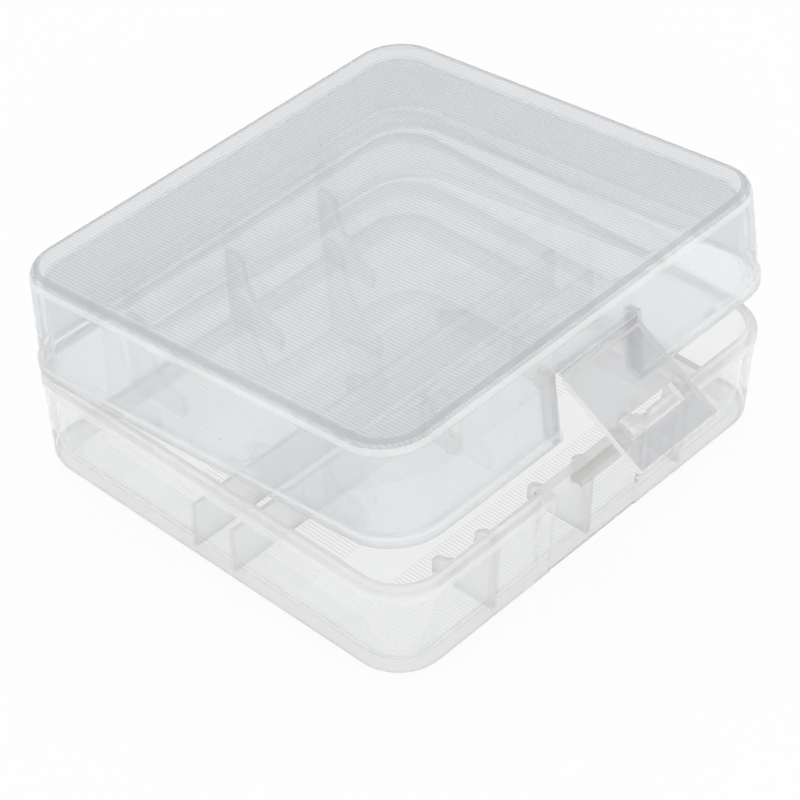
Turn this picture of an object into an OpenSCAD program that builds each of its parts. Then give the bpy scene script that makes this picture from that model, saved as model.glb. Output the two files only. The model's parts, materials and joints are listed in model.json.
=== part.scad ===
// Clear plastic storage case for two fat round cells, lid ajar and latch swung out.
// X runs along the hinge, -Y is the latch side, +Z is up.
// The origin is at the bottom centre of the base.

/* [Case] */
// Width of the rim along the hinge
case_w = 78; // [60:1:110]
// Depth of the rim from the latch side to the hinge side
case_d = 71.3; // [66:0.1:80]
// Outer corner radius of the rim, seen from above
corner_r = 7.9; // [6:0.1:10]
// Thickness of the side walls
wall_t = 1.5; // [1.2:0.1:2]

/* [Base] */
// Height of the base up to its outer shoulder
base_h = 15.1; // [14.6:0.1:15.6]
// Thickness of the floor
floor_t = 1.3; // [1.1:0.1:1.6]
// Radius where the walls meet the floor inside
floor_r = 1.6; // [0.5:0.1:1.6]
// How far the bottom edge is drawn in by the mould draft
base_draft = 0.55; // [0.1:0.05:1]
// Radius of the outer bottom edge
bottom_r = 1.5; // [0.5:0.1:2]
// Height of the inner tongue above the shoulder
tongue_h = 1; // [0.5:0.1:1.2]
// Thickness of the tongue
tongue_t = 0.7; // [0.5:0.1:0.8]
// How far the rim bead stands out
bead_out = 0.2; // [0.1:0.05:0.3]
// Height of the rim bead
bead_h = 1.5; // [1:0.1:2]

/* [Cradles] */
// Distance of the ribs from the middle of the case
rib_pitch = 19.5; // [15:0.5:24]
// Thickness of a cradle rib
rib_t = 1; // [0.8:0.1:1.5]
// Radius of the hollow that a rib holds a cell in
cradle_r = 9.6; // [9:0.1:10]
// Height of the cross walls above the table
cross_top = 8.4; // [7.5:0.1:9]
// Distance of a cross wall's middle from the middle of the case
cross_y = 3.66; // [3:0.1:4]
// Thickness of a cross wall
cross_t = 0.9; // [0.7:0.1:1.2]
// Depth of the shallow trough in each bay's floor
trough_deep = 0.5; // [0.2:0.1:0.6]

/* [Lid] */
// Height of the lid from its lower edge to its top
lid_h = 15.55; // [15.2:0.05:15.6]
// Gap that the folded hinge web keeps between shoulder and lid at the back
web_gap = 0.9; // [0.8:0.05:1]
// Thickness of the lid's top
roof_t = 1.3; // [1.1:0.1:1.6]
// How far the lid's top edge is drawn in by the mould draft
lid_draft = 0.6; // [0.1:0.05:1]
// Radius of the lid's outer top edge
roof_r = 1.6; // [0.5:0.1:2]
// Radius where the walls meet the top inside
roof_inner_r = 2.3; // [0.5:0.1:2.3]
// How far the band round the lid's lower edge stands out
lip_out = 0.3; // [0.2:0.05:0.35]
// Height of that band
lip_h = 1.5; // [1:0.1:2]
// Angle at which the relaxed hinge leaves the lid standing
lid_ajar = 6.1; // [0:0.1:10]

/* [Latch] */
// Width of the latch tab
tab_w = 15.5; // [14:0.5:18]
// Length of the latch tab below its hinge line
tab_l = 15.9; // [15:0.1:16]
// Thickness of the latch tab
tab_t = 1.05; // [0.8:0.05:1.1]
// Height of the latch's hinge line above the lid's lower edge
latch_up = 10.45; // [10.2:0.05:10.7]
// Width of the slot in the tab
slot_w = 10.1; // [10:0.1:11]
// Distance from the latch's hinge line to the slot
slot_from = 9.15; // [9:0.05:9.3]
// Height of the slot
slot_h = 2.9; // [2.8:0.1:3]
// Angle at which the tab stands out from the lid's front
latch_out = 53.2; // [0:0.1:90]

/* [Hidden] */
RIB_NAMES = [for (row = ["front_rib", "front_gusset", "rear_gusset", "rear_rib"])
    for (place = ["left", "middle", "right"]) str(row, "_", place)];
$fn = 32;

PP = [0.86, 0.87, 0.88, 0.45];
PP_DARK = [0.80, 0.81, 0.82, 0.55];
PP_FILM = [0.92, 0.93, 0.93, 0.6];
leaf = 0.01;                            // thickness of a hull's guide slice
past = 1;                               // how far a cutter runs past the faces that it cuts
far = 10;                               // reaches from any wall to well outside the case
front_y = -case_d / 2;
rear_y = case_d / 2;

// Base
fillet_steps = 5;
recess_half = 9.05;                     // half width of the latch recess
recess_in = 1.2;                        // depth of the latch recess
recess_y = front_y + recess_in;
trough_y = [13.3, 20.8];
trough_edge = 0.25;                     // flat floor left between a trough and the wall's radius
trough_x = case_w / 2 - wall_t - base_draft - floor_r - trough_edge;
trough_r = 2;
ledge_half = 4.7;
ledge_z = [13.9, 14.75];
ledge_out = 1.9;
ledge_nose = 0.35;

// Cradle ribs: their profile is drawn for the front wall, in Y and Z
bay_y = -17;                            // middle of the front bay
rib_top = 14;
rib_crown = 1;                          // how far the crown falls towards the bay
rib_crown_y = -31.2;
hollow_y = -21.3;                       // centre of the hollow's arc
hollow_z = 13.1;
hollow_fn = 96;
toe_y = -23.9;
toe_z = 3.85;
toe_r = 0.4;

// Hinge at the back: the web's two halves meet on the axis, at their outer faces
web_out = 0.45;
web_half_w = case_w / 2 - 14;           // stops short of the round corners
web_h = 1.8;
web_slack = 0.02;                       // lets the two halves pass as the lid goes fully down
fold_below = 0.15;                      // height of the lid's edge above the fold
hinge_y = rear_y + web_out;
hinge_z = base_h + web_gap - fold_below;

// Lid, modelled level and then turned up by lid_ajar about the hinge
edge_z = base_h + web_gap;
lid_top = edge_z + lid_h;
rebate_in = 0.5;
rebate_h = 1.4;
notch_gap = 0.3;                        // beside the tab, on each side
notch_half = tab_w / 2 + notch_gap;
cheek_t = 1.2;
cheek_in = 2.5;
cheek_r = 1.6;
film_t = 0.3;
film_h = 0.45;
rail_h = 0.8;
rail_in = 1.2;
latch_y = front_y - lip_out;
latch_z = edge_z + latch_up;

// The rim's outline, drawn in by the given distance
module plan(inset) {
    r = corner_r - inset;
    w = case_w - 2 * inset;
    d = case_d - 2 * inset;
    square([w - 2 * r, d], center = true);
    square([w, d - 2 * r], center = true);
    for (x = [-1, 1], y = [-1, 1])
        translate([x * (w / 2 - r), y * (d / 2 - r)]) circle(r);
}

module slice(inset, z) {
    translate([0, 0, z]) linear_extrude(leaf) plan(inset);
}

// A tub with drafted walls and a round bottom edge, open side up
module tub(height, inset, draft, edge_r) {
    hull() {
        for (i = [0 : fillet_steps]) {
            a = 90 * i / fillet_steps;
            slice(inset + draft + edge_r * (1 - sin(a)), edge_r * (1 - cos(a)));
        }
        slice(inset, height - leaf);
    }
}

module mirrored_y(on) {
    mirror([0, on ? 1 : 0, 0]) children();
}

// Everything in front of the recessed face, from below the table to above the tongue
module recess_block(half, y) {
    translate([-half, y - far, -past]) cube([2 * half, far, base_h + tongue_h + 2 * past]);
}

// Everything behind the rear wall over the hinge web's width, up to the given height
module behind_web(top) {
    translate([-web_half_w, rear_y, 0]) cube([2 * web_half_w, far, top]);
}

// The hollow inside the base's walls
module base_hollow() {
    difference() {
        translate([0, 0, floor_t]) tub(base_h, wall_t, base_draft, floor_r);
        recess_block(recess_half + wall_t, recess_y + wall_t);
    }
}

module trough(side) {
    mid = side * (trough_y[0] + trough_y[1]) / 2;
    half = (trough_y[1] - trough_y[0]) / 2;
    hull() {
        for (step = [0, 1])
            for (x = [-1, 1], y = [-1, 1])
                translate([x * (trough_x - trough_r), mid + y * (half - trough_r),
                           floor_t - trough_deep * (1 - step)])
                    cylinder(r = trough_r - trough_deep * (1 - step), h = leaf);
    }
}

module base_tray() {
    color(PP) difference() {
        union() {
            tub(base_h, 0, base_draft, bottom_r);
            difference() {
                translate([0, 0, base_h - bead_h]) linear_extrude(bead_h) plan(-bead_out);
                behind_web(base_h + past);
            }
        }
        recess_block(recess_half, recess_y);
        base_hollow();
        trough(-1);
        trough(1);
    }
}

module rim_tongue() {
    outer = wall_t - tongue_t;
    color(PP) translate([0, 0, base_h]) linear_extrude(tongue_h) difference() {
        plan(outer);
        plan(wall_t);
        translate([-recess_half - wall_t, front_y]) square([2 * (recess_half + wall_t), wall_t]);
    }
}

module catch_ledge() {
    color(PP_DARK) translate([-ledge_half, 0, 0]) rotate([90, 0, 90]) linear_extrude(2 * ledge_half)
        polygon([[recess_y, ledge_z[0]], [recess_y - ledge_out, ledge_z[0]],
                 [recess_y - ledge_out, ledge_z[1] - ledge_nose],
                 [recess_y - ledge_out + ledge_nose, ledge_z[1]], [recess_y, ledge_z[1]]]);
}

module cross_wall(side) {
    color(PP) intersection() {
        translate([-case_w / 2, side * cross_y - cross_t / 2, 0]) cube([case_w, cross_t, cross_top]);
        base_hollow();
    }
}

// Outline of a rib against the front wall, from the floor up to its crown
module rib_outline() {
    difference() {
        polygon([[front_y, 0], [front_y, rib_top], [rib_crown_y - rib_crown, rib_top],
                 [rib_crown_y, rib_top - rib_crown], [hollow_y, hollow_z], [toe_y, toe_z],
                 [toe_y + toe_r, toe_z - toe_r], [toe_y + toe_r, 0]]);
        translate([hollow_y, hollow_z]) circle(cradle_r, $fn = hollow_fn);
    }
}

module rib(x) {
    color(PP_DARK) intersection() {
        translate([x - rib_t / 2, 0, 0]) rotate([90, 0, 90]) linear_extrude(rib_t) rib_outline();
        base_hollow();
    }
}

// The same outline turned about the middle of the bay, cut off at the cross wall
module gusset(x) {
    color(PP_DARK) translate([x - rib_t / 2, 0, floor_t]) rotate([90, 0, 90])
        linear_extrude(rib_t) translate([0, -floor_t]) intersection() {
            translate([2 * bay_y, 0]) mirror([1, 0]) rib_outline();
            translate([2 * bay_y, floor_t])
                square([-2 * bay_y - cross_y - cross_t / 2, cross_top - floor_t]);
        }
}

module rib_by_index(i) {
    x = (i % 3 - 1) * rib_pitch;
    row = floor(i / 3);
    mirrored_y(row > 1) {
        if (row == 0 || row == 3) rib(x);
        else gusset(x);
    }
}

module web(z) {
    color(PP_FILM) translate([-web_half_w, rear_y, z]) cube([2 * web_half_w, web_out, web_h]);
}

module hinge_web_base() {
    web(hinge_z - web_h);
}

// Puts the level lid in the pose that its relaxed hinge leaves it in
module ajar() {
    translate([0, hinge_y, hinge_z]) rotate([-lid_ajar, 0, 0])
        translate([0, -hinge_y, -hinge_z]) children();
}

// The same for the tab, about its own hinge line on the lid
module swung() {
    translate([0, latch_y, latch_z]) rotate([-latch_out, 0, 0])
        translate([0, -latch_y, -latch_z]) children();
}

module hinge_web_lid() {
    ajar() web(hinge_z + web_slack);
}

module lid_cup(height, inset, draft, edge_r) {
    translate([0, 0, edge_z + height]) mirror([0, 0, 1]) tub(height, inset, draft, edge_r);
}

// The opening in the lid's front wall that holds the cheeks and the tab
module notch() {
    half = notch_half + cheek_t;
    translate([-half, front_y - past, edge_z - past])
        cube([2 * half, past + cheek_in, latch_up + past]);
}

module lid_shell() {
    color(PP) ajar() difference() {
        lid_cup(lid_h, 0, lid_draft, roof_r);
        lid_cup(lid_h - roof_t, wall_t, lid_draft, roof_inner_r);
        translate([0, 0, edge_z - past]) linear_extrude(past + rebate_h) plan(rebate_in);
        notch();
    }
}

module lid_lip() {
    color(PP) ajar() difference() {
        translate([0, 0, edge_z]) linear_extrude(lip_h) plan(-lip_out);
        lid_cup(lid_h, 0, lid_draft, roof_r);
        notch();
        behind_web(lid_top);
    }
}

// Outline of a cheek in Y and Z, with its lower inner corner rounded
module cheek_outline() {
    translate([front_y, edge_z]) square([cheek_in - cheek_r, latch_up]);
    translate([front_y, edge_z + cheek_r]) square([cheek_in, latch_up - cheek_r]);
    translate([front_y + cheek_in - cheek_r, edge_z + cheek_r]) circle(cheek_r);
}

module cheek(side) {
    mid_x = side * (notch_half + cheek_t / 2);
    color(PP_DARK) ajar() intersection() {
        lid_cup(lid_h, 0, lid_draft, roof_r);
        translate([mid_x - cheek_t / 2, 0, 0]) rotate([90, 0, 90])
            linear_extrude(cheek_t) cheek_outline();
    }
}

module latch_rail() {
    color(PP_FILM) ajar() difference() {
        translate([-tab_w / 2, latch_y, latch_z]) cube([tab_w, rail_in, rail_h]);
        lid_cup(lid_h, 0, lid_draft, roof_r);
        translate([-tab_w / 2 - past, latch_y + film_t, latch_z - past])
            cube([tab_w + 2 * past, far, past + film_h]);
    }
}

module latch_tab() {
    color(PP_DARK) ajar() swung() difference() {
        translate([-tab_w / 2, latch_y, latch_z - tab_l]) cube([tab_w, tab_t, tab_l]);
        translate([-slot_w / 2, latch_y - past, latch_z - slot_from - slot_h])
            cube([slot_w, tab_t + 2 * past, slot_h]);
        translate([-tab_w / 2 - past, latch_y + film_t, latch_z - film_h])
            cube([tab_w + 2 * past, far, film_h + past]);
    }
}

base_tray();
rim_tongue();
catch_ledge();
cross_wall(-1);  // cross_wall_front
cross_wall(1);  // cross_wall_rear
for (i = [0 : len(RIB_NAMES) - 1])
    rib_by_index(i);
hinge_web_base();
hinge_web_lid();
lid_shell();
lid_lip();
cheek(-1);  // notch_cheek_left
cheek(1);  // notch_cheek_right
latch_rail();
latch_tab();
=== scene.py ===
"""A clear plastic case for two fat round cells, its lid ajar and its snap tab swung out."""
import json
import math

import bmesh
import bpy
from mathutils import Matrix, Vector


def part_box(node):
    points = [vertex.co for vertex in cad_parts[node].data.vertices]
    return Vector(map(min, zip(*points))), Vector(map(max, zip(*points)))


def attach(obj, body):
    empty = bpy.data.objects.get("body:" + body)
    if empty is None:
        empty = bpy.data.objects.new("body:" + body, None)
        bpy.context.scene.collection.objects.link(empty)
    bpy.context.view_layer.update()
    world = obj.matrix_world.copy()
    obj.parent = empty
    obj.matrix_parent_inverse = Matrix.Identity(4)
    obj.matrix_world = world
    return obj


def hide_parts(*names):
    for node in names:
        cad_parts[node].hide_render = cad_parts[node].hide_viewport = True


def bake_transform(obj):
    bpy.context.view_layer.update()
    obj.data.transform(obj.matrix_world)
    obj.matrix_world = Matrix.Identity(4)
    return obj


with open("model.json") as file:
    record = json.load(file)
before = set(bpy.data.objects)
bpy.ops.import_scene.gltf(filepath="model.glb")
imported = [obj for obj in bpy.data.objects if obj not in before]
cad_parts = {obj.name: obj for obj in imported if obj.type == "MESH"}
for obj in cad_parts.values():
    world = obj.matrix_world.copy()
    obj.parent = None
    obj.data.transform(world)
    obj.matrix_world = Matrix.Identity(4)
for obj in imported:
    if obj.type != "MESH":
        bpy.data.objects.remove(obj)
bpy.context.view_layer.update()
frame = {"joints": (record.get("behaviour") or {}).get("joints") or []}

# ---------------------------------------------------------------- camera
# A long lens, high at the left front and tilted a hair. Its angles, distance and shift were
# worked out from the straight edges of the case in the photo. Lens and sensor are in mm.
MM = 0.001
CASE_WIDTH = 78 * MM
CASE_DEPTH = 71.3 * MM
SENSOR = 36
LENS = 132.08
SHIFT_X = -0.0031
SHIFT_Y = 0.0335
CAMERA_AWAY = 5.3305 * CASE_WIDTH
CAMERA_TURN = math.radians(-47.4175)
CAMERA_HIGH = math.radians(41.3584)
CAMERA_TILT = math.radians(-0.3328)


def placed(name, data):
    """A new object in the scene that holds the data."""
    obj = bpy.data.objects.new(name, data)
    bpy.context.scene.collection.objects.link(obj)
    return obj


camera_data = bpy.data.cameras.new("camera")
camera_data.sensor_width = SENSOR
camera_data.lens = LENS
camera_data.shift_x = SHIFT_X
camera_data.shift_y = SHIFT_Y
camera = placed("camera", camera_data)
bpy.context.scene.camera = camera
turned_round = Matrix.Rotation(CAMERA_TURN, 4, "Z")
tipped_down = Matrix.Rotation(math.radians(90) - CAMERA_HIGH, 4, "X")
tilted_sideways = Matrix.Rotation(CAMERA_TILT, 4, "Z")
moved_back = Matrix.Translation((0, 0, CAMERA_AWAY))
camera.matrix_world = turned_round @ tipped_down @ tilted_sideways @ moved_back


# ---------------------------------------------------------------- base shell
# The lower half of the one polypropylene moulding: drafted walls with a round bottom edge, a
# bead under the rim, a thin tongue inside the shoulder, a recess for the tab at the front,
# and two shallow troughs in the floor.
tray_low, tray_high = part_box("base_tray")
BEAD_OUT = 0.2 * MM
BEAD_H = 1.5 * MM
HALF_W = tray_high.x - BEAD_OUT
HALF_D = HALF_W * CASE_DEPTH / CASE_WIDTH
CORNER_R = 7.9 * MM
CORNER_STEPS = 14
WALL = 1.5 * MM
SHOULDER_Z = tray_high.z
FLOOR_Z = 1.3 * MM
FLOOR_R = 1.6 * MM
FLOOR_STEPS = 6
BASE_DRAFT = 0.55 * MM
BOTTOM_R = 1.5 * MM
ROUND_STEPS = 8
UNDER_IN = 4.6 * MM
TONGUE_IN = 0.8 * MM
TONGUE_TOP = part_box("rim_tongue")[1].z
TONGUE_END = 11.1 * MM
RECESS_HALF = 9.05 * MM
RECESS_Y = -HALF_D + 1.2 * MM
EDGE = 0.1 * MM
# The bead's outline, as insets and heights: its flank from its foot, its top from the shoulder.
BEAD_FLANK = ((0.03 * MM, -0.15 * MM), (-0.08 * MM, 0.1 * MM), (-BEAD_OUT, 0.4 * MM))
BEAD_TOP = ((-BEAD_OUT, -0.35 * MM), (-0.1 * MM, -0.1 * MM), (0.08 * MM, 0))
TROUGH_Y = (13.3 * MM, 20.8 * MM)
TROUGH_X = 35.1 * MM
TROUGH_R = 2 * MM
TROUGH_STEPS = 6
TROUGH_DEEP = 0.5 * MM
TROUGH_Z = FLOOR_Z - TROUGH_DEEP
CREASE = math.radians(32)
FLAT_WEIGHT = 90


def round_corners(half_x, half_y, radius, steps):
    """The X and Y of a rectangle with round corners, from the front right corner on."""
    points = []
    for right, back, turn in ((1, -1, -90), (1, 1, 0), (-1, 1, 90), (-1, -1, 180)):
        for i in range(steps + 1):
            a = math.radians(turn + 90 * i / steps)
            points.append((right * (half_x - radius) + radius * math.cos(a),
                           back * (half_y - radius) + radius * math.sin(a)))
    return points


def rim_ring(inset, z, jog_half=0, jog_y=0, low_z=None):
    """Points of one level line round the case, which jogs in at the latch recess if asked.

    low_z is the line's height between the tongue's two ends, where it isn't z.
    """
    low_z = z if low_z is None else low_z
    outline = round_corners(HALF_W - inset, HALF_D - inset, CORNER_R - inset, CORNER_STEPS)
    points = [(x, y, z) for x, y in outline]
    if jog_half:
        front_y = inset - HALF_D
        front = [(TONGUE_END + EDGE, front_y, z), (TONGUE_END, front_y, low_z),
                 (jog_half + EDGE, front_y, low_z), (jog_half, max(jog_y, front_y), low_z)]
        points += [(-x, y, h) for x, y, h in front]
        points += [(x, y, h) for x, y, h in reversed(front)]
    return points


def loft(name, rings):
    """A closed mesh through rings of equally many points, each ring joined to the next."""
    bm = bmesh.new()
    loops = [[bm.verts.new(p) for p in ring] for ring in rings]
    count = len(loops[0])
    for low, high in zip(loops, loops[1:]):
        for i in range(count):
            j = (i + 1) % count
            bm.faces.new((low[i], low[j], high[j], high[i]))
    bm.faces.new(list(reversed(loops[0])))
    bm.faces.new(loops[-1])
    bmesh.ops.recalc_face_normals(bm, faces=bm.faces)
    mesh = bpy.data.meshes.new(name)
    bm.to_mesh(mesh)
    bm.free()
    return placed(name, mesh)


def applied(obj, kind, **settings):
    """Puts a modifier on the object and makes its result the object's own mesh."""
    modifier = obj.modifiers.new(kind, kind)
    for key, value in settings.items():
        setattr(modifier, key, value)
    depsgraph = bpy.context.evaluated_depsgraph_get()
    made = bpy.data.meshes.new_from_object(obj.evaluated_get(depsgraph))
    obj.modifiers.clear()
    made.name = obj.name
    obj.data = made


def smooth(obj):
    """Smooth shading that leaves flat faces flat, broken where faces meet at a crease."""
    for polygon in obj.data.polygons:
        polygon.use_smooth = True
    obj.data.set_sharp_from_angle(angle=CREASE)
    applied(obj, "WEIGHTED_NORMAL", weight=FLAT_WEIGHT, keep_sharp=True)


def cut(obj, cutter):
    """Takes the cutter out of the object for good, and deletes the cutter."""
    applied(obj, "BOOLEAN", operation="DIFFERENCE", solver="EXACT", object=cutter)
    bpy.data.objects.remove(cutter)


def rounding(radius, z, inset, steps, up):
    """(inset, z) pairs round the outside of an edge, from level at z to upright at inset."""
    pairs = []
    for i in range(steps + 1):
        a = math.radians(90 * i / steps)
        pairs.append((inset + radius * (1 - math.sin(a)), z + up * radius * (1 - math.cos(a))))
    return pairs


def base_rings():
    """Level lines up the outside of the base, over its tongue and down the inside."""
    outer = [(UNDER_IN, 0)] + rounding(BOTTOM_R, 0, BASE_DRAFT, ROUND_STEPS, 1)
    outer += [(inset, SHOULDER_Z - BEAD_H + up) for inset, up in BEAD_FLANK]
    outer += [(inset, SHOULDER_Z + up) for inset, up in BEAD_TOP]
    rings = [rim_ring(inset, z, RECESS_HALF, RECESS_Y) for inset, z in outer]
    rings.append(rim_ring(TONGUE_IN, SHOULDER_Z, RECESS_HALF + TONGUE_IN, RECESS_Y + TONGUE_IN))
    for inset, z in ((TONGUE_IN, TONGUE_TOP - EDGE), (TONGUE_IN + EDGE, TONGUE_TOP),
                     (WALL - EDGE, TONGUE_TOP), (WALL, TONGUE_TOP - EDGE)):
        rings.append(rim_ring(inset, z, RECESS_HALF + inset, RECESS_Y + inset, SHOULDER_Z))
    inner = rounding(FLOOR_R, FLOOR_Z, WALL + BASE_DRAFT, FLOOR_STEPS, 1)
    inner.append((WALL + EDGE / 4, SHOULDER_Z - EDGE))
    rings += [rim_ring(inset, z, RECESS_HALF + WALL, RECESS_Y + WALL)
              for inset, z in reversed(inner)]
    return rings


def trough_cutter(side):
    """A shallow pan with sloping edges, a little open above the floor."""
    mid_y = side * sum(TROUGH_Y) / 2
    half_y = (TROUGH_Y[1] - TROUGH_Y[0]) / 2
    rings = []
    for inset, up in ((TROUGH_DEEP, -TROUGH_DEEP), (0, 0), (0, TROUGH_DEEP)):
        outline = round_corners(TROUGH_X - inset, half_y - inset, TROUGH_R - inset, TROUGH_STEPS)
        rings.append([(x, mid_y + y, FLOOR_Z + up) for x, y in outline])
    return loft("trough", rings)


base_shell = loft("base_shell", base_rings())
for side in (-1, 1):
    cut(base_shell, trough_cutter(side))
smooth(base_shell)

# Translucent polypropylene: it lets most light through, bends it a little, and clouds it.
PP_CLEAR = (0.988, 0.988, 0.988, 1)
PP_CLOUDY = (0.975, 0.975, 0.975, 1)
# Less than the real plastic's 1.5, at which the faces would trap the light that alpha lets by.
LIGHT_BEND = 1.1
CLOUDS_PER_M = 60
CLOUD_FROM = 0.35
CLOUD_TO = 0.65
ROUGH_SPREAD = 0.3
RIPPLES_PER_M = 220
RIPPLE_DEEP = 0.02 * MM
RIPPLE_STRENGTH = 0.03
LINE_PITCH = 0.6 * MM
LINE_DEEP = 0.02 * MM
LINE_STRENGTH = 0.2
LINE_FROM = 0.02
LINE_TO = 0.35
# How far a wave texture of scale 1 turns in one unit, in radians.
WAVE_TURN = 20
DUST_APART = 3.6 * MM
DUST_R = 0.14 * MM
DUST_GREY = (0.3, 0.29, 0.28, 1)
WHITE = (1, 1, 1, 1)


def feed(tree, shading_node, inputs):
    """Sets a node's inputs, each to a value or to another node's output."""
    for key, value in inputs.items():
        if isinstance(value, bpy.types.NodeSocket):
            tree.links.new(value, shading_node.inputs[key])
        else:
            shading_node.inputs[key].default_value = value


def added(tree, kind, inputs, **settings):
    """A new shading node with its settings and inputs."""
    shading_node = tree.nodes.new("ShaderNode" + kind)
    for key, value in settings.items():
        setattr(shading_node, key, value)
    feed(tree, shading_node, inputs)
    return shading_node


def graded(tree, value, low, high):
    """A colour that follows a value; low and high are each a place on the way and a colour."""
    ramp = added(tree, "ValToRGB", {"Fac": value})
    for stop, (position, colour) in zip(ramp.color_ramp.elements, (low, high)):
        stop.position = position
        stop.color = colour
    return ramp.outputs["Color"]


def mixed(tree, share, colour, other, blend_type="MIX"):
    """The colour with a share of another one in it, or multiplied by it."""
    mix = added(tree, "Mix", {0: share, 6: colour, 7: other}, data_type="RGBA",
                blend_type=blend_type)
    return mix.outputs[2]


def polypropylene(name, clear, cloudy, roughness=0.01, haze=0.22, body=0.6, groove=None,
                  dust=False):
    """Moulded plastic, unevenly cloudy and faintly rippled, with tool marks along Y if asked.

    body is the share of light that the plastic acts on, and the rest passes straight through.
    Of that share, haze is scattered. groove is the shade of the tool marks, and dust adds
    a few fine dark specks.
    """
    material = bpy.data.materials.new(name)
    material.use_nodes = True
    tree = material.node_tree
    place = added(tree, "TexCoord", {}).outputs["Object"]
    cloud = added(tree, "TexNoise", {"Vector": place, "Scale": CLOUDS_PER_M, "Detail": 4})
    colour = graded(tree, cloud.outputs["Fac"], (CLOUD_FROM, cloudy), (CLOUD_TO, clear))
    rough = added(tree, "MapRange", {"Value": cloud.outputs["Fac"],
                                     "To Min": roughness * (1 - ROUGH_SPREAD),
                                     "To Max": roughness * (1 + ROUGH_SPREAD)})
    ripple = added(tree, "TexNoise", {"Vector": place, "Scale": RIPPLES_PER_M, "Detail": 2})
    relief = added(tree, "Bump", {"Height": ripple.outputs["Fac"], "Distance": RIPPLE_DEEP,
                                  "Strength": RIPPLE_STRENGTH})
    if groove:
        marks = added(tree, "TexWave", {"Vector": place, "Distortion": 0,
                                        "Scale": math.tau / WAVE_TURN / LINE_PITCH},
                      bands_direction="X")
        relief = added(tree, "Bump", {"Height": marks.outputs["Fac"], "Distance": LINE_DEEP,
                                      "Strength": LINE_STRENGTH,
                                      "Normal": relief.outputs["Normal"]})
        shade = graded(tree, marks.outputs["Fac"], (LINE_FROM, groove), (LINE_TO, WHITE))
        colour = mixed(tree, 1, colour, shade, "MULTIPLY")
    if dust:
        cells = added(tree, "TexVoronoi", {"Vector": place, "Scale": 1 / DUST_APART})
        speck = added(tree, "Math", {0: cells.outputs["Distance"], 1: DUST_R / DUST_APART},
                      operation="LESS_THAN")
        colour = mixed(tree, speck.outputs["Value"], colour, DUST_GREY)
    feed(tree, tree.nodes["Principled BSDF"],
         {"Base Color": colour, "Roughness": rough.outputs["Result"], "IOR": LIGHT_BEND,
          "Transmission Weight": 1 - haze, "Alpha": body, "Normal": relief.outputs["Normal"]})
    return material


def dress(obj, *plastics):
    """Gives the object its plastics, the first of them on every face."""
    obj.data.materials.clear()
    for plastic in plastics:
        obj.data.materials.append(plastic)


def tilted(degrees):
    """The upward part of a face's normal when the face is tilted this much from facing up."""
    return math.cos(math.radians(degrees))


LEVEL = tilted(2.5)
# Below the upward part of every face, so that it takes them all.
ANY_TILT = -2


def finish_faces(obj, slot, z_from, z_to, least_up=LEVEL):
    """Gives the faces between two heights that face up enough another of the plastics."""
    for polygon in obj.data.polygons:
        if polygon.normal.z > least_up and z_from < polygon.center.z < z_to:
            polygon.material_index = slot


WALL_CLEAR = (0.955, 0.957, 0.958, 1)
WALL_CLOUDY = (0.94, 0.942, 0.943, 1)
shell_plastic = polypropylene("shell_plastic", WALL_CLEAR, WALL_CLOUDY)
GROOVE_TINT = (0.56, 0.55, 0.54, 1)
lined_plastic = polypropylene("floor_plastic", PP_CLEAR, PP_CLOUDY, groove=GROOVE_TINT)
# The rim's plastic is cloudier, and its beige-grey tone is painted light: painted shade on the
# base's bead and tongue, a painted highlight on the lid's band and low on the roof's round edge.
RIM_SHADE_AND_SHEEN_CLEAR = (0.91, 0.904, 0.892, 1)
RIM_SHADE_AND_SHEEN_CLOUDY = (0.895, 0.889, 0.877, 1)
rim_shade_and_sheen_plastic = polypropylene("rim_shade_and_sheen_plastic", RIM_SHADE_AND_SHEEN_CLEAR, RIM_SHADE_AND_SHEEN_CLOUDY, haze=0.6, body=0.8)
# A dark grey painted on the low part of the bottom's round edge: painted shade where the case
# meets the floor.
FOOT_PAINTED_SHADE = (0.62, 0.61, 0.59, 1)
foot_shade_plastic = polypropylene("foot_shade_plastic", FOOT_PAINTED_SHADE, FOOT_PAINTED_SHADE, haze=0.6, body=0.8)
BASE_WALL, BASE_FLOOR, BASE_RIM, BASE_FOOT = range(4)
UNDER_TILT = 160
dress(base_shell, shell_plastic, lined_plastic, rim_shade_and_sheen_plastic, foot_shade_plastic)
# The strip round the underside takes the rim's cloudier plastic and its painted shade too, and the
# bottom edge above it is darker still: painted shade where the case meets the floor.
for polygon in base_shell.data.polygons:
    if polygon.normal.z < tilted(UNDER_TILT) and polygon.center.xy.length > HALF_D / 2:
        polygon.material_index = BASE_RIM
finish_faces(base_shell, BASE_FOOT, EDGE / 4, BOTTOM_R / 2, tilted(UNDER_TILT))
# The floor is lined by the mould's cutter, its troughs are plain, and the rim is cloudier, with
# painted shade in its darker tone.
finish_faces(base_shell, BASE_WALL, TROUGH_Z - EDGE, TROUGH_Z + EDGE)
finish_faces(base_shell, BASE_FLOOR, FLOOR_Z - EDGE, FLOOR_Z + EDGE)
finish_faces(base_shell, BASE_RIM, SHOULDER_Z - BEAD_H - EDGE, TONGUE_TOP + EDGE, ANY_TILT)
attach(base_shell, "base")
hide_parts("base_tray", "rim_tongue")


# ---------------------------------------------------------------- cross walls
# Two low walls moulded with the floor part the two bays and leave a channel between them.
# They draw in a little towards their rounded tops.
CROSS_FOOT_T = 0.96 * MM
CROSS_TOP_T = 0.78 * MM
CROSS_ROUND = 0.2 * MM
ROUND_SEGMENTS = 2
SQUARE_ON = 0.9
EMBED = 0.3 * MM
FOOT_Z = FLOOR_Z - EMBED


def level_box(x_from, x_to, y_from, y_to, z):
    """The four corners of a level rectangle."""
    return [(x_from, y_from, z), (x_to, y_from, z), (x_to, y_to, z), (x_from, y_to, z)]


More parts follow.
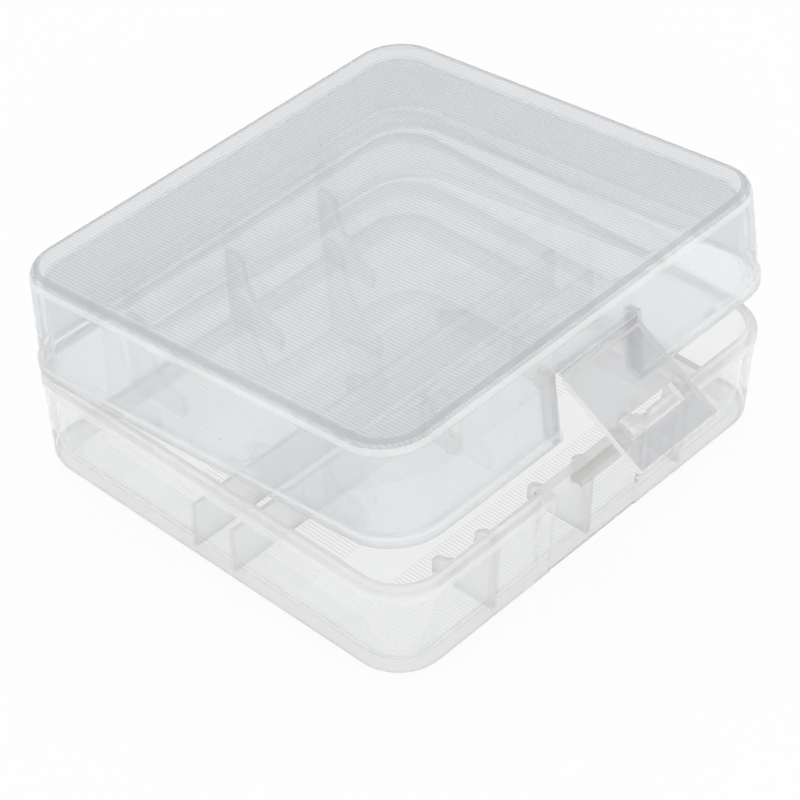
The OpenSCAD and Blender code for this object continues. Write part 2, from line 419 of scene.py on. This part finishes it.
def bevelled(obj, width):
    """Rounds every sharp edge for good."""
    applied(obj, "BEVEL", width=width, segments=ROUND_SEGMENTS, limit_method="ANGLE")
    smooth(obj)
    return obj


rib_plastic = polypropylene("cradle_plastic", PP_CLEAR, PP_CLOUDY, haze=0.6, body=0.5)
# The narrow faces of the ribs, cross walls and cheeks get a darker beige: painted shade for the
# dark lines that their edges show.
THIN_EDGE_PAINTED_SHADE = (0.8, 0.79, 0.775, 1)
thin_edge_shade_plastic = polypropylene("thin_edge_shade_plastic", THIN_EDGE_PAINTED_SHADE, THIN_EDGE_PAINTED_SHADE, haze=0.55, body=0.7)


def narrow_faces(obj, axis):
    """Gives the narrow faces of a plate, those not square to the axis, its second material."""
    for polygon in obj.data.polygons:
        polygon.material_index = 0 if abs(polygon.normal[axis]) > SQUARE_ON else 1


def moulded_on(obj, node, body, flat_axis=0,
               plastics=(rib_plastic, thin_edge_shade_plastic)):
    """Hands a finished piece over: its plastics, its body and the node that it stands for."""
    dress(obj, *plastics)
    narrow_faces(obj, flat_axis)
    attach(obj, body)
    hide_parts(node)


for place in ("front", "rear"):
    name = "cross_wall_" + place
    low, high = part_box(name)
    mid_y = (low.y + high.y) / 2
    half_x = HALF_W - WALL - BASE_DRAFT + EMBED
    rings = [level_box(-half_x, half_x, mid_y - thick / 2, mid_y + thick / 2, z)
             for z, thick in ((FOOT_Z, CROSS_FOOT_T), (high.z, CROSS_TOP_T))]
    wall = bevelled(loft(name + "_moulded", rings), CROSS_ROUND)
    moulded_on(wall, name, "base", flat_axis=1)


# ---------------------------------------------------------------- cradle ribs
# Twelve upright ribs, three in each row, hold the round cells off the floor. Those on the
# outer walls reach up to the rim, and those on the cross walls stop at the walls' tops.
RIB_T = 1 * MM
RIB_TOP = 14 * MM
RIB_EDGE = 0.12 * MM
BAY_Y = -17 * MM
CROWN = 1 * MM
CROWN_Y = -31.2 * MM
HOLLOW_Y = -21.3 * MM
HOLLOW_Z = 13.1 * MM
HOLLOW_R = 9.6 * MM
HOLLOW_STEPS = 26
TOE_Y = -23.9 * MM
TOE_R = 0.4 * MM


def hollow_arc():
    """The round hollow of a front rib in Y and Z, from its crown down to its toe."""
    toe_z = HOLLOW_Z - math.sqrt(HOLLOW_R ** 2 - (TOE_Y - HOLLOW_Y) ** 2)
    arc_from = math.atan2(RIB_TOP - CROWN - HOLLOW_Z, CROWN_Y - HOLLOW_Y) % math.tau
    arc_to = math.atan2(toe_z - HOLLOW_Z, TOE_Y - HOLLOW_Y) % math.tau
    points = []
    for i in range(HOLLOW_STEPS + 1):
        a = arc_from + (arc_to - arc_from) * i / HOLLOW_STEPS
        points.append((HOLLOW_Y + HOLLOW_R * math.cos(a), HOLLOW_Z + HOLLOW_R * math.sin(a)))
    return points + [(TOE_Y + TOE_R, toe_z - TOE_R)]


def rib_profile():
    """A rib's outline on the front wall in Y and Z, from its foot up the wall and to the toe."""
    wall_y = WALL - HALF_D
    return [(TOE_Y + TOE_R, FOOT_Z), (wall_y + BASE_DRAFT - EMBED, FOOT_Z),
            (wall_y - EMBED / 2, RIB_TOP), (CROWN_Y - CROWN, RIB_TOP)] + hollow_arc()


def gusset_profile(top, back):
    """The rib's outline turned about the bay's middle, cut at the cross wall's top and back."""
    hollow = [(2 * BAY_Y - y, z) for y, z in hollow_arc() if z < top]
    top_y = 2 * BAY_Y - HOLLOW_Y + math.sqrt(HOLLOW_R ** 2 - (HOLLOW_Z - top) ** 2)
    return [(2 * BAY_Y - TOE_Y - TOE_R, FOOT_Z), (back, FOOT_Z), (back, top),
            (top_y, top)] + hollow


def extruded_x(name, profile, x_from, x_to):
    """A solid with one outline in Y and Z all the way from one X to the other."""
    return loft(name, [[(x, y, z) for y, z in profile] for x in (x_from, x_to)])


for row in ("front_rib", "front_gusset", "rear_gusset", "rear_rib"):
    side = -1 if row.startswith("rear") else 1
    for place in ("left", "middle", "right"):
        name = row + "_" + place
        low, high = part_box(name)
        if row.endswith("rib"):
            profile = rib_profile()
        else:
            wall_y = min(abs(low.y), abs(high.y))
            profile = gusset_profile(high.z, -wall_y + EMBED)
        mid_x = (low.x + high.x) / 2
        profile = [(side * y, z) for y, z in profile]
        rib = extruded_x(name + "_moulded", profile, mid_x - RIB_T / 2, mid_x + RIB_T / 2)
        moulded_on(bevelled(rib, RIB_EDGE), name, "base")


# ---------------------------------------------------------------- catch ledge
# The small shelf in the latch recess that the tab's slot snaps over. Its upper nose is
# chamfered, so that the tab rides up it.
ledge_low, ledge_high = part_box("catch_ledge")
NOSE = 0.35 * MM
ledge_root = ledge_high.y + EMBED
ledge_profile = [(ledge_root, ledge_low.z), (ledge_low.y, ledge_low.z),
                 (ledge_low.y, ledge_high.z - NOSE), (ledge_low.y + NOSE, ledge_high.z),
                 (ledge_root, ledge_high.z)]
ledge = extruded_x("catch_ledge_moulded", ledge_profile, ledge_low.x, ledge_high.x)
# The ledge's darker beige is painted shade, not the plastic's own colour.
LEDGE_PAINTED_SHADE = (0.81, 0.795, 0.77, 1)
ledge_shade_plastic = polypropylene("ledge_shade_plastic", LEDGE_PAINTED_SHADE, LEDGE_PAINTED_SHADE, haze=0.6, body=0.8)
moulded_on(bevelled(ledge, RIB_EDGE), "catch_ledge", "base",
           plastics=(ledge_shade_plastic, ledge_shade_plastic))


# ---------------------------------------------------------------- lid shell
# The upper half of the moulding: a flat top, drafted walls, a band round the lower edge,
# a rebate inside it that goes over the tongue, and a notch for the tab.
LID_EDGE = SHOULDER_Z + 0.9 * MM
LID_H = 15.55 * MM
LID_TOP = LID_EDGE + LID_H
LID_DRAFT = 0.6 * MM
ROOF = 1.3 * MM
ROOF_R = 1.6 * MM
ROOF_INNER_R = 2.3 * MM
LIP_OUT = 0.3 * MM
LIP_H = 1.5 * MM
LIP_TOP = LID_EDGE + LIP_H
# The band's outline, as insets and heights: its shelf from its top, its foot from the lid's edge.
LIP_SHELF = ((0.06 * MM, 0.1 * MM), (-0.1 * MM, 0), (-LIP_OUT, -0.2 * MM))
LIP_FOOT = ((-LIP_OUT, 0.2 * MM), (-0.2 * MM, 0.05 * MM), (-0.1 * MM, 0))
REBATE_IN = 0.5 * MM
REBATE_H = 1.4 * MM
NOTCH_HALF = 8.05 * MM
NOTCH_TOP = LID_EDGE + 10.45 * MM
NOTCH_BACK = 3 * MM
OVERSHOOT = 2 * MM


def lid_rings():
    """Level lines down the outside of the lid, under its band and up the inside."""
    outer = rounding(ROOF_R, LID_TOP, LID_DRAFT, ROUND_STEPS, -1)
    outer += [(inset, LIP_TOP + up) for inset, up in LIP_SHELF]
    outer += [(inset, LID_EDGE + up) for inset, up in LIP_FOOT]
    inner = [(REBATE_IN - EDGE, LID_EDGE), (REBATE_IN, LID_EDGE + EDGE),
             (REBATE_IN, LID_EDGE + REBATE_H), (WALL, LID_EDGE + REBATE_H)]
    inner += reversed(rounding(ROOF_INNER_R, LID_TOP - ROOF, WALL + LID_DRAFT, ROUND_STEPS, -1))
    return [rim_ring(inset, z) for inset, z in outer + inner]


def block(name, low, high):
    """A plain box, used as a cutter or as the start of a bevelled piece."""
    return loft(name, [level_box(low[0], high[0], low[1], high[1], z) for z in (low[2], high[2])])


lid_shell = loft("lid_shell_moulded", lid_rings())
cut(lid_shell, block("notch", (-NOTCH_HALF, -HALF_D - OVERSHOOT, LID_EDGE - OVERSHOOT),
                     (NOTCH_HALF, -HALF_D + NOTCH_BACK, NOTCH_TOP)))
# The lid's walls are the base's plastic painted darker and bluer: painted shade with a bluish cast
# of painted sky light. Its specks are dust.
LID_SHADE_CLEAR = (0.85, 0.86, 0.873, 1)
LID_SHADE_CLOUDY = (0.83, 0.84, 0.855, 1)
lid_shade_plastic = polypropylene("lid_wall_shade_plastic", LID_SHADE_CLEAR, LID_SHADE_CLOUDY, haze=0.36, body=0.66,
                            dust=True)
# The roof is painted darker and bluer than the lid's walls: painted shade for the shaded inside
# seen through it, with a bluish cast of painted sky light. Its lines are tool marks and its specks
# dust.
ROOF_SHADE_CLEAR = (0.745, 0.755, 0.768, 1)
ROOF_SHADE_CLOUDY = (0.725, 0.735, 0.748, 1)
ROOF_GROOVE = (0.78, 0.78, 0.78, 1)
lid_roof_shade_plastic = polypropylene("lid_roof_shade_plastic", ROOF_SHADE_CLEAR, ROOF_SHADE_CLOUDY, haze=0.46,
                                 body=0.62, groove=ROOF_GROOVE, dust=True)
# A dark grey painted where the roof's round edge turns level: painted shade and a painted dark
# reflection, not the plastic's own colour.
ROOF_EDGE_PAINTED_SHADE = (0.53, 0.54, 0.55, 1)
roof_edge_painted_shade_plastic = polypropylene("roof_edge_painted_shade_plastic", ROOF_EDGE_PAINTED_SHADE, ROOF_EDGE_PAINTED_SHADE, haze=0.5, body=0.8)
LID_WALL, LID_ROOF, LID_ROOF_EDGE, LID_RIM = range(4)
dress(lid_shell, lid_shade_plastic, lid_roof_shade_plastic, roof_edge_painted_shade_plastic, rim_shade_and_sheen_plastic)
# The band is cloudier along its lower edge and on its shelf, and lighter there: a painted
# highlight.
finish_faces(lid_shell, LID_RIM, LID_EDGE - EDGE, LID_EDGE + 3 * EDGE, ANY_TILT)
finish_faces(lid_shell, LID_RIM, LIP_TOP - 3 * EDGE, LIP_TOP + 2 * EDGE, tilted(70))
# The round edge of the roof is lighter low down, a painted highlight in the rim's cloudier
# plastic, and dark where it turns level, a painted shade and dark reflection.
for slot, tilt in ((LID_RIM, 86), (LID_ROOF, 55), (LID_ROOF_EDGE, 35)):
    finish_faces(lid_shell, slot, LID_TOP - ROOF_R, LID_TOP + EDGE, tilted(tilt))
finish_faces(lid_shell, LID_ROOF, LID_TOP - EDGE, LID_TOP + EDGE)

# The lid is made level, as it sits when closed, and then turned up about the hinge to where
# the relaxed plastic holds it.
hinge_joint = next(j for j in frame["joints"] if j["name"] == "lid_hinge")
HINGE = Vector(hinge_joint["pos_m"])
AJAR = math.radians(6.1)
turned_up = (Matrix.Translation(HINGE) @ Matrix.Rotation(-AJAR, 4, "X")
             @ Matrix.Translation(-HINGE))
lid_shell.data.transform(turned_up)
smooth(lid_shell)
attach(lid_shell, "lid")
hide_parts("lid_shell", "lid_lip")


# ---------------------------------------------------------------- mould marks
# Two round marks that the mould leaves on the lid's front wall, left of the tab. They
# stand a hair proud of the wall and are a little cloudier than it.
MARK_X = {"left": -27.2 * MM, "right": -10.4 * MM}
MARK_R = 1.45 * MM
MARK_STEPS = 28
MARK_BELOW = 4.2 * MM
MARK_PROUD = 0.05 * MM
MARK_TINT = (0.92, 0.905, 0.875, 1)
mark_plastic = polypropylene("mark_plastic", MARK_TINT, MARK_TINT, haze=0.4, body=0.4)
mark_z = LID_TOP - MARK_BELOW
wall_slope = LID_DRAFT / (LID_H - LIP_H - ROOF_R)
mark_y = -HALF_D + wall_slope * (mark_z - LIP_TOP)


def mark_ring(mid_x, radius, out):
    """A circle that lies along the sloping wall, so far out from it."""
    points = []
    for i in range(MARK_STEPS):
        a = math.tau * i / MARK_STEPS
        up = radius * math.sin(a)
        points.append((mid_x + radius * math.cos(a), mark_y + wall_slope * up - out, mark_z + up))
    return points


for place, mark_x in MARK_X.items():
    rings = [mark_ring(mark_x, MARK_R, -EMBED), mark_ring(mark_x, MARK_R, MARK_PROUD),
             mark_ring(mark_x, MARK_R - EDGE, MARK_PROUD + EDGE / 4)]
    mark = loft("mould_mark_" + place, rings)
    mark.data.transform(turned_up)
    smooth(mark)
    dress(mark, mark_plastic)
    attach(mark, "lid")


# ---------------------------------------------------------------- notch cheeks
# Short returns run inwards on both sides of the notch and stiffen it. Their lower inner
# corners are fully rounded.
CHEEK_T = 1.2 * MM
CHEEK_IN = 2.5 * MM
CHEEK_R = 1.6 * MM
CHEEK_STEPS = 8
CHEEK_EDGE = 0.15 * MM
cheek_front = -HALF_D + EMBED
cheek_back = -HALF_D + CHEEK_IN
cheek_profile = [(cheek_front, NOTCH_TOP + EMBED), (cheek_front, LID_EDGE)]
for i in range(CHEEK_STEPS + 1):
    a = math.radians(-90 + 90 * i / CHEEK_STEPS)
    cheek_profile.append((cheek_back - CHEEK_R + CHEEK_R * math.cos(a),
                          LID_EDGE + CHEEK_R + CHEEK_R * math.sin(a)))
cheek_profile.append((cheek_back, NOTCH_TOP + EMBED))
for place, side in (("left", -1), ("right", 1)):
    name = "notch_cheek_" + place
    near, far = sorted((side * NOTCH_HALF, side * (NOTCH_HALF + CHEEK_T)))
    cheek = bevelled(extruded_x(name + "_moulded", cheek_profile, near, far), CHEEK_EDGE)
    cheek.data.transform(turned_up)
    moulded_on(cheek, name, "lid")


# ---------------------------------------------------------------- hinge web
# A flexible strip moulded between the two halves at the back. It thins to a film where the
# rims meet and bends there each time the lid is opened.
WEB_OUT = 0.45 * MM
WEB_H = 1.8 * MM
WEB_HALF = 25 * MM
FILM = 0.3 * MM
RAMP = 0.4 * MM
BEND_FROM = -0.4 * MM
BEND_TO = 0.1 * MM
BEND_STEPS = 6


def bent(obj, pivot, turn, start_z, end_z):
    """Bends a mesh about a line along X: nothing up to start_z, the whole turn from end_z on."""
    for vertex in obj.data.vertices:
        share = min(max((vertex.co.z - start_z) / (end_z - start_z), 0), 1)
        swing = Matrix.Translation(pivot) @ Matrix.Rotation(turn * share, 4, "X")
        vertex.co = swing @ (vertex.co - pivot)


web_in = HALF_D - EMBED
web_face = HALF_D + WEB_OUT
web_mid = HALF_D + WEB_OUT / 2
bend_zs = [BEND_FROM + (BEND_TO - BEND_FROM) * i / BEND_STEPS for i in range(BEND_STEPS + 1)]
web_outer = [(web_in, -WEB_H), (web_mid, -WEB_H), (web_face, -WEB_H + RAMP)]
web_outer += [(web_face, z) for z in bend_zs]
web_outer += [(web_face, WEB_H - RAMP), (web_mid, WEB_H), (web_in, WEB_H)]
web_inner = [(web_in, SHOULDER_Z - HINGE.z), (web_face - FILM, SHOULDER_Z + EDGE - HINGE.z)]
web_inner += [(web_face - FILM, z) for z in bend_zs]
web_inner += [(web_in, LID_EDGE + EDGE - HINGE.z)]
web_profile = [(y, HINGE.z + z) for y, z in web_outer + web_inner[::-1]]
web = extruded_x("hinge_web", web_profile, -WEB_HALF, WEB_HALF)
smooth(web)
bent(web, HINGE, -AJAR, HINGE.z + BEND_FROM, HINGE.z + BEND_TO)
dress(web, polypropylene("film_plastic", PP_CLEAR, PP_CLOUDY, roughness=0.06))
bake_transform(web)
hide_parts("hinge_web_base", "hinge_web_lid")


# ---------------------------------------------------------------- latch rail
# A small ridge across the top of the notch, moulded on the lid. The tab hangs from its
# lower outer edge by a film.
LATCH = Vector((0, -HALF_D - LIP_OUT, NOTCH_TOP))
TAB_HALF = 7.75 * MM
RAIL_H = 0.8 * MM
RAIL_IN = 1.1 * MM
RAIL_EDGE = 0.16 * MM
rail_low = (-TAB_HALF, LATCH.y, LATCH.z)
rail_high = (TAB_HALF, LATCH.y + RAIL_IN, LATCH.z + RAIL_H)
rail = bevelled(block("latch_rail_moulded", rail_low, rail_high), RAIL_EDGE)
rail.data.transform(turned_up)
# The rail takes the lid's colour, with its painted shade.
rail_plastic = polypropylene("rail_plastic", LID_SHADE_CLEAR, LID_SHADE_CLOUDY, haze=0.2, body=0.4)
moulded_on(rail, "latch_rail", "lid", plastics=(rail_plastic, rail_plastic))


# ---------------------------------------------------------------- latch tab
# A stiff plate that swings on the film at its upper edge. Its slot snaps over the ledge of
# the base. Plate and film are one moulding with the lid.
TAB_L = 15.9 * MM
TAB_T = 1.05 * MM
TAB_EDGE = 0.12 * MM
SLOT_HALF = 5.05 * MM
SLOT_FROM = 9.15 * MM
SLOT_H = 2.9 * MM
TAB_FILM_H = 0.45 * MM
TAB_OUT = math.radians(53.2)
film_zs = [-TAB_FILM_H * i / BEND_STEPS for i in range(BEND_STEPS + 1)]
tab_outer = [(EDGE / 2, RAIL_H / 2), (EDGE / 2, 0)] + [(0, z) for z in film_zs[1:]] + [(0, -TAB_L)]
tab_inner = [(FILM, RAIL_H / 2)] + [(FILM, z) for z in film_zs]
tab_inner += [(TAB_T, -TAB_FILM_H - RAMP), (TAB_T, -TAB_L)]
tab_profile = [(LATCH.y + y, LATCH.z + z) for y, z in tab_outer + tab_inner[::-1]]
tab = extruded_x("latch_tab_moulded", tab_profile, -TAB_HALF, TAB_HALF)
slot_top = LATCH.z - SLOT_FROM
cut(tab, block("slot", (-SLOT_HALF, LATCH.y - TAB_T, slot_top - SLOT_H),
               (SLOT_HALF, LATCH.y + 2 * TAB_T, slot_top)))
bevelled(tab, TAB_EDGE)
# The tab is the same plastic as the lid, painted a darker grey: painted shade.
TAB_SHADE_CLEAR = (0.715, 0.715, 0.72, 1)
TAB_SHADE_CLOUDY = (0.695, 0.695, 0.7, 1)
tab_shade_plastic = polypropylene("tab_shade_plastic", TAB_SHADE_CLEAR, TAB_SHADE_CLOUDY)
# The tab's narrow faces are near white: painted highlights along its edges and the slot's edges.
TAB_EDGE_HIGHLIGHT_CLEAR = (0.97, 0.965, 0.95, 1)
TAB_EDGE_HIGHLIGHT_CLOUDY = (0.95, 0.945, 0.93, 1)
tab_edge_highlight_plastic = polypropylene("tab_edge_highlight_plastic", TAB_EDGE_HIGHLIGHT_CLEAR, TAB_EDGE_HIGHLIGHT_CLOUDY, haze=0.7,
                                 body=0.8)
dress(tab, tab_shade_plastic, tab_edge_highlight_plastic)
narrow_faces(tab, 1)
bent(tab, LATCH, -TAB_OUT, LATCH.z, LATCH.z - TAB_FILM_H)
tab.data.transform(turned_up)
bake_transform(tab)
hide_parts("latch_tab")


# ---------------------------------------------------------------- floor
# A wide pale sheet just under the case. It takes the case's shadow, and glows for the rays
# that the camera sees directly, through the plastic or in it, so that it shows nearly white.
FLOOR_HALF = 2
FLOOR_BELOW = 0.02 * MM
FLOOR_GREY = (0.9, 0.9, 0.9, 1)
FLOOR_ROUGH = 0.9
FLOOR_GLOW = 0.9
floor_mesh = bpy.data.meshes.new("floor")
floor_mesh.from_pydata(level_box(-FLOOR_HALF, FLOOR_HALF, -FLOOR_HALF, FLOOR_HALF, 0), [],
                       [(0, 1, 2, 3)])
floor = placed("floor", floor_mesh)
floor.location.z = -FLOOR_BELOW
floor_look = bpy.data.materials.new("floor")
floor_look.use_nodes = True
tree = floor_look.node_tree
matt = tree.nodes["Principled BSDF"]
feed(tree, matt, {"Base Color": FLOOR_GREY, "Roughness": FLOOR_ROUGH})
rays = added(tree, "LightPath", {})
seen = rays.outputs["Is Camera Ray"]
for ray in ("Is Transmission Ray", "Is Glossy Ray"):
    either = added(tree, "Math", {0: seen, 1: rays.outputs[ray]}, operation="MAXIMUM")
    seen = either.outputs[0]
share = added(tree, "Math", {0: seen, 1: FLOOR_GLOW}, operation="MULTIPLY")
glow = added(tree, "Emission", {})
look = added(tree, "MixShader", {0: share.outputs[0], 1: matt.outputs[0], 2: glow.outputs[0]})
feed(tree, tree.nodes["Material Output"], {"Surface": look.outputs[0]})
dress(floor, floor_look)


# ---------------------------------------------------------------- light
# An even, faintly blue sky does most of the lighting. One small lamp at the left front gives
# it a direction and adds glints.
SKY_TINT = (0.965, 0.98, 1, 1)
SKY_STRENGTH = 1
KEY_POWER = 0.25
KEY_SIZE = 0.05
KEY_AT = Vector((-0.33, -0.36, 0.25))
world = bpy.data.worlds.new("world")
bpy.context.scene.world = world
world.use_nodes = True
feed(world.node_tree, world.node_tree.nodes["Background"],
     {"Color": SKY_TINT, "Strength": SKY_STRENGTH})
key_data = bpy.data.lights.new("key", "AREA")
key_data.energy = KEY_POWER
key_data.size = KEY_SIZE
key = placed("key", key_data)
key.location = KEY_AT
key.rotation_mode = "QUATERNION"
key.rotation_quaternion = KEY_AT.to_track_quat("Z", "Y")
bpy.context.scene.view_settings.view_transform = "Standard"
